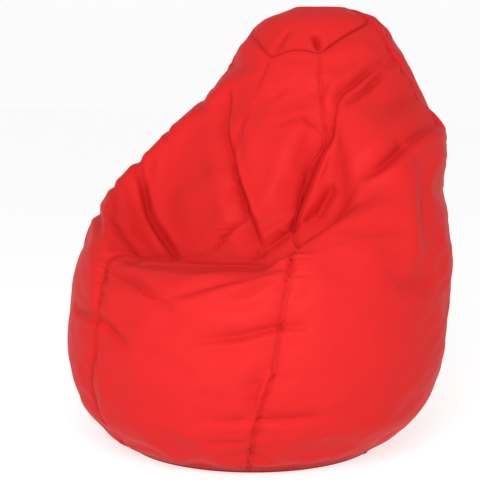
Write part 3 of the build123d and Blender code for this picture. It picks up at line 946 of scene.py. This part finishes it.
def inner_shell(inset, floor):
    """A closed layer inside the cover: along its base with a hump over the zip, up its side, and
    over under its cap."""
    wall = inner_side - inset * inner_normals
    wall[..., 2] = np.maximum(wall[..., 2], floor)
    dome = cap_grid(side[-1, ::INNER_COLUMN_STEP], INNER_RING_ROWS)
    dome = (dome - (inset + DOME_INSET) * grid_normals(dome))[1:]
    share = np.linspace(0.0, 1, INNER_RING_ROWS)[:-1]
    foot = wall[0].mean(0)
    under = foot + (wall[0] - foot) * share[:, None, None]
    under[..., 2] = floor + HUMP * (1 - smooth_step(np.abs(under[..., 1]), HUMP_FROM, HUMP_TO))
    return np.concatenate([under, wall, dome])


def add_layer(name, points, material, node):
    piece = add_grid(name, points, True, material)
    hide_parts(node)
    return piece


liner = inner_shell(LINER_INSET, LINER_FLOOR)
for node, points, (flat, area) in (
    ("liner_base", liner[:LINER_BASE_ROWS], LINER_BASE_CLOTH),
    ("liner_bag", liner[LINER_BASE_ROWS - 1:], LINER_BAG_CLOTH),
):
    piece = add_layer(node + "_cloth", points, liner_white, node)
    thicken(piece, LINER_THICK)

beads = inner_shell(BEADS_INSET, BEADS_FLOOR)
beads = add_layer("bead_fill_body", beads, beads_white, "bead_fill")

# ---- CAD nodes that keep their shape -------------------------------------------------------------
KEPT = {
    "zip_tape_front": tape_red, "zip_tape_rear": tape_red,
    "zip_teeth_front": teeth_red, "zip_teeth_rear": teeth_red,
    "zip_top_stops": metal_red, "zip_bottom_stop": metal_red,
    "zip_slider": metal_red, "zip_pull_tab": metal_red,
    "liner_closure": strip_white,
}
for name, material in KEPT.items():
    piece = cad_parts[name]
    piece.data.materials.clear()
    piece.data.materials.append(material)

# ---- Studio --------------------------------------------------------------------------------------
FLOOR_REACH, FLOOR_GLOW = 12.0, 0.74
KEY_PLACE, KEY_AIM, KEY_SIZE, KEY_POWER = (1.3, -3.0, 2.3), (0, 0, 0.5), 1.6, 113
WALL_LIGHT, CEILING_LIGHT = 0.97, 0.48
CAMERA_TURN, CAMERA_RISE, CAMERA_AWAY = 28.0, 8.0, 3.4  # degrees from the front, degrees up, metres
PICTURE_WIDTH = 1.1085  # metres across the picture, at the point aimed at
AIM_POINT = BASE + np.array([0.0, 0.10, 0.48])
AIM_RIGHT, AIM_UP = 0.0785, 0.0346  # how far that point lies from the picture's middle


def add_floor():
    """A pale floor that glows a little, so that it looks as white as the photo's."""
    nodes = Nodes("studio_floor")
    nodes.join(nodes.mix(nodes.noise(3.0), (0.40, 0.40, 0.40), (0.38, 0.38, 0.38)),
               nodes.shader.inputs["Base Color"])
    nodes.shader.inputs["Roughness"].default_value = 0.9
    nodes.shader.inputs["Specular IOR Level"].default_value = 0.1
    nodes.shader.inputs["Emission Color"].default_value = (1, 1, 1, 1)
    nodes.shader.inputs["Emission Strength"].default_value = FLOOR_GLOW
    mesh = bpy.data.meshes.new("studio_floor")
    signs = ((-1, -1), (1, -1), (1, 1), (-1, 1))
    corners = [(x * FLOOR_REACH, y * FLOOR_REACH, 0) for x, y in signs]
    mesh.from_pydata(corners, [], [(0, 1, 2, 3)])
    mesh.materials.append(nodes.material)
    floor = bpy.data.objects.new("studio_floor", mesh)
    bpy.context.scene.collection.objects.link(floor)


def add_key_light():
    lamp = bpy.data.lights.new("key", "AREA")
    lamp.shape = "DISK"
    lamp.size = KEY_SIZE
    lamp.energy = KEY_POWER
    light = bpy.data.objects.new("key", lamp)
    light.location = KEY_PLACE
    light.rotation_euler = (Vector(KEY_AIM) - Vector(KEY_PLACE)).to_track_quat("-Z", "Y").to_euler()
    bpy.context.scene.collection.objects.link(light)


def add_world():
    """A white studio wall all round, with a dimmer ceiling."""
    world = bpy.data.worlds.new("studio")
    world.use_nodes = True
    tree = world.node_tree
    place = tree.nodes.new("ShaderNodeTexCoord")
    parts = tree.nodes.new("ShaderNodeSeparateXYZ")
    level = tree.nodes.new("ShaderNodeMapRange")
    level.inputs["From Min"].default_value = 0.08
    level.inputs["From Max"].default_value = 0.40
    level.inputs["To Min"].default_value = WALL_LIGHT
    level.inputs["To Max"].default_value = CEILING_LIGHT
    tree.links.new(place.outputs["Generated"], parts.inputs["Vector"])
    tree.links.new(parts.outputs["Z"], level.inputs["Value"])
    tree.links.new(level.outputs["Result"], tree.nodes["Background"].inputs["Strength"])
    tree.nodes["Background"].inputs["Color"].default_value = (1, 1, 1, 1)
    bpy.context.scene.world = world


def add_camera():
    turn, rise = math.radians(CAMERA_TURN), math.radians(CAMERA_RISE)
    level = math.cos(rise)
    back = Vector((math.sin(turn) * level, -math.cos(turn) * level, math.sin(rise)))
    right = Vector((math.cos(turn), math.sin(turn), 0))
    up = back.cross(right)
    lens = bpy.data.cameras.new("camera")
    lens.sensor_width = 36.0
    lens.lens = CAMERA_AWAY * lens.sensor_width / PICTURE_WIDTH
    camera = bpy.data.objects.new("camera", lens)
    camera.location = Vector(AIM_POINT) + CAMERA_AWAY * back - AIM_RIGHT * right - AIM_UP * up
    camera.rotation_euler = back.to_track_quat("Z", "Y").to_euler()
    bpy.context.scene.collection.objects.link(camera)
    bpy.context.scene.camera = camera


add_floor()
add_world()
add_key_light()
add_camera()
bpy.context.scene.view_settings.view_transform = "Standard"
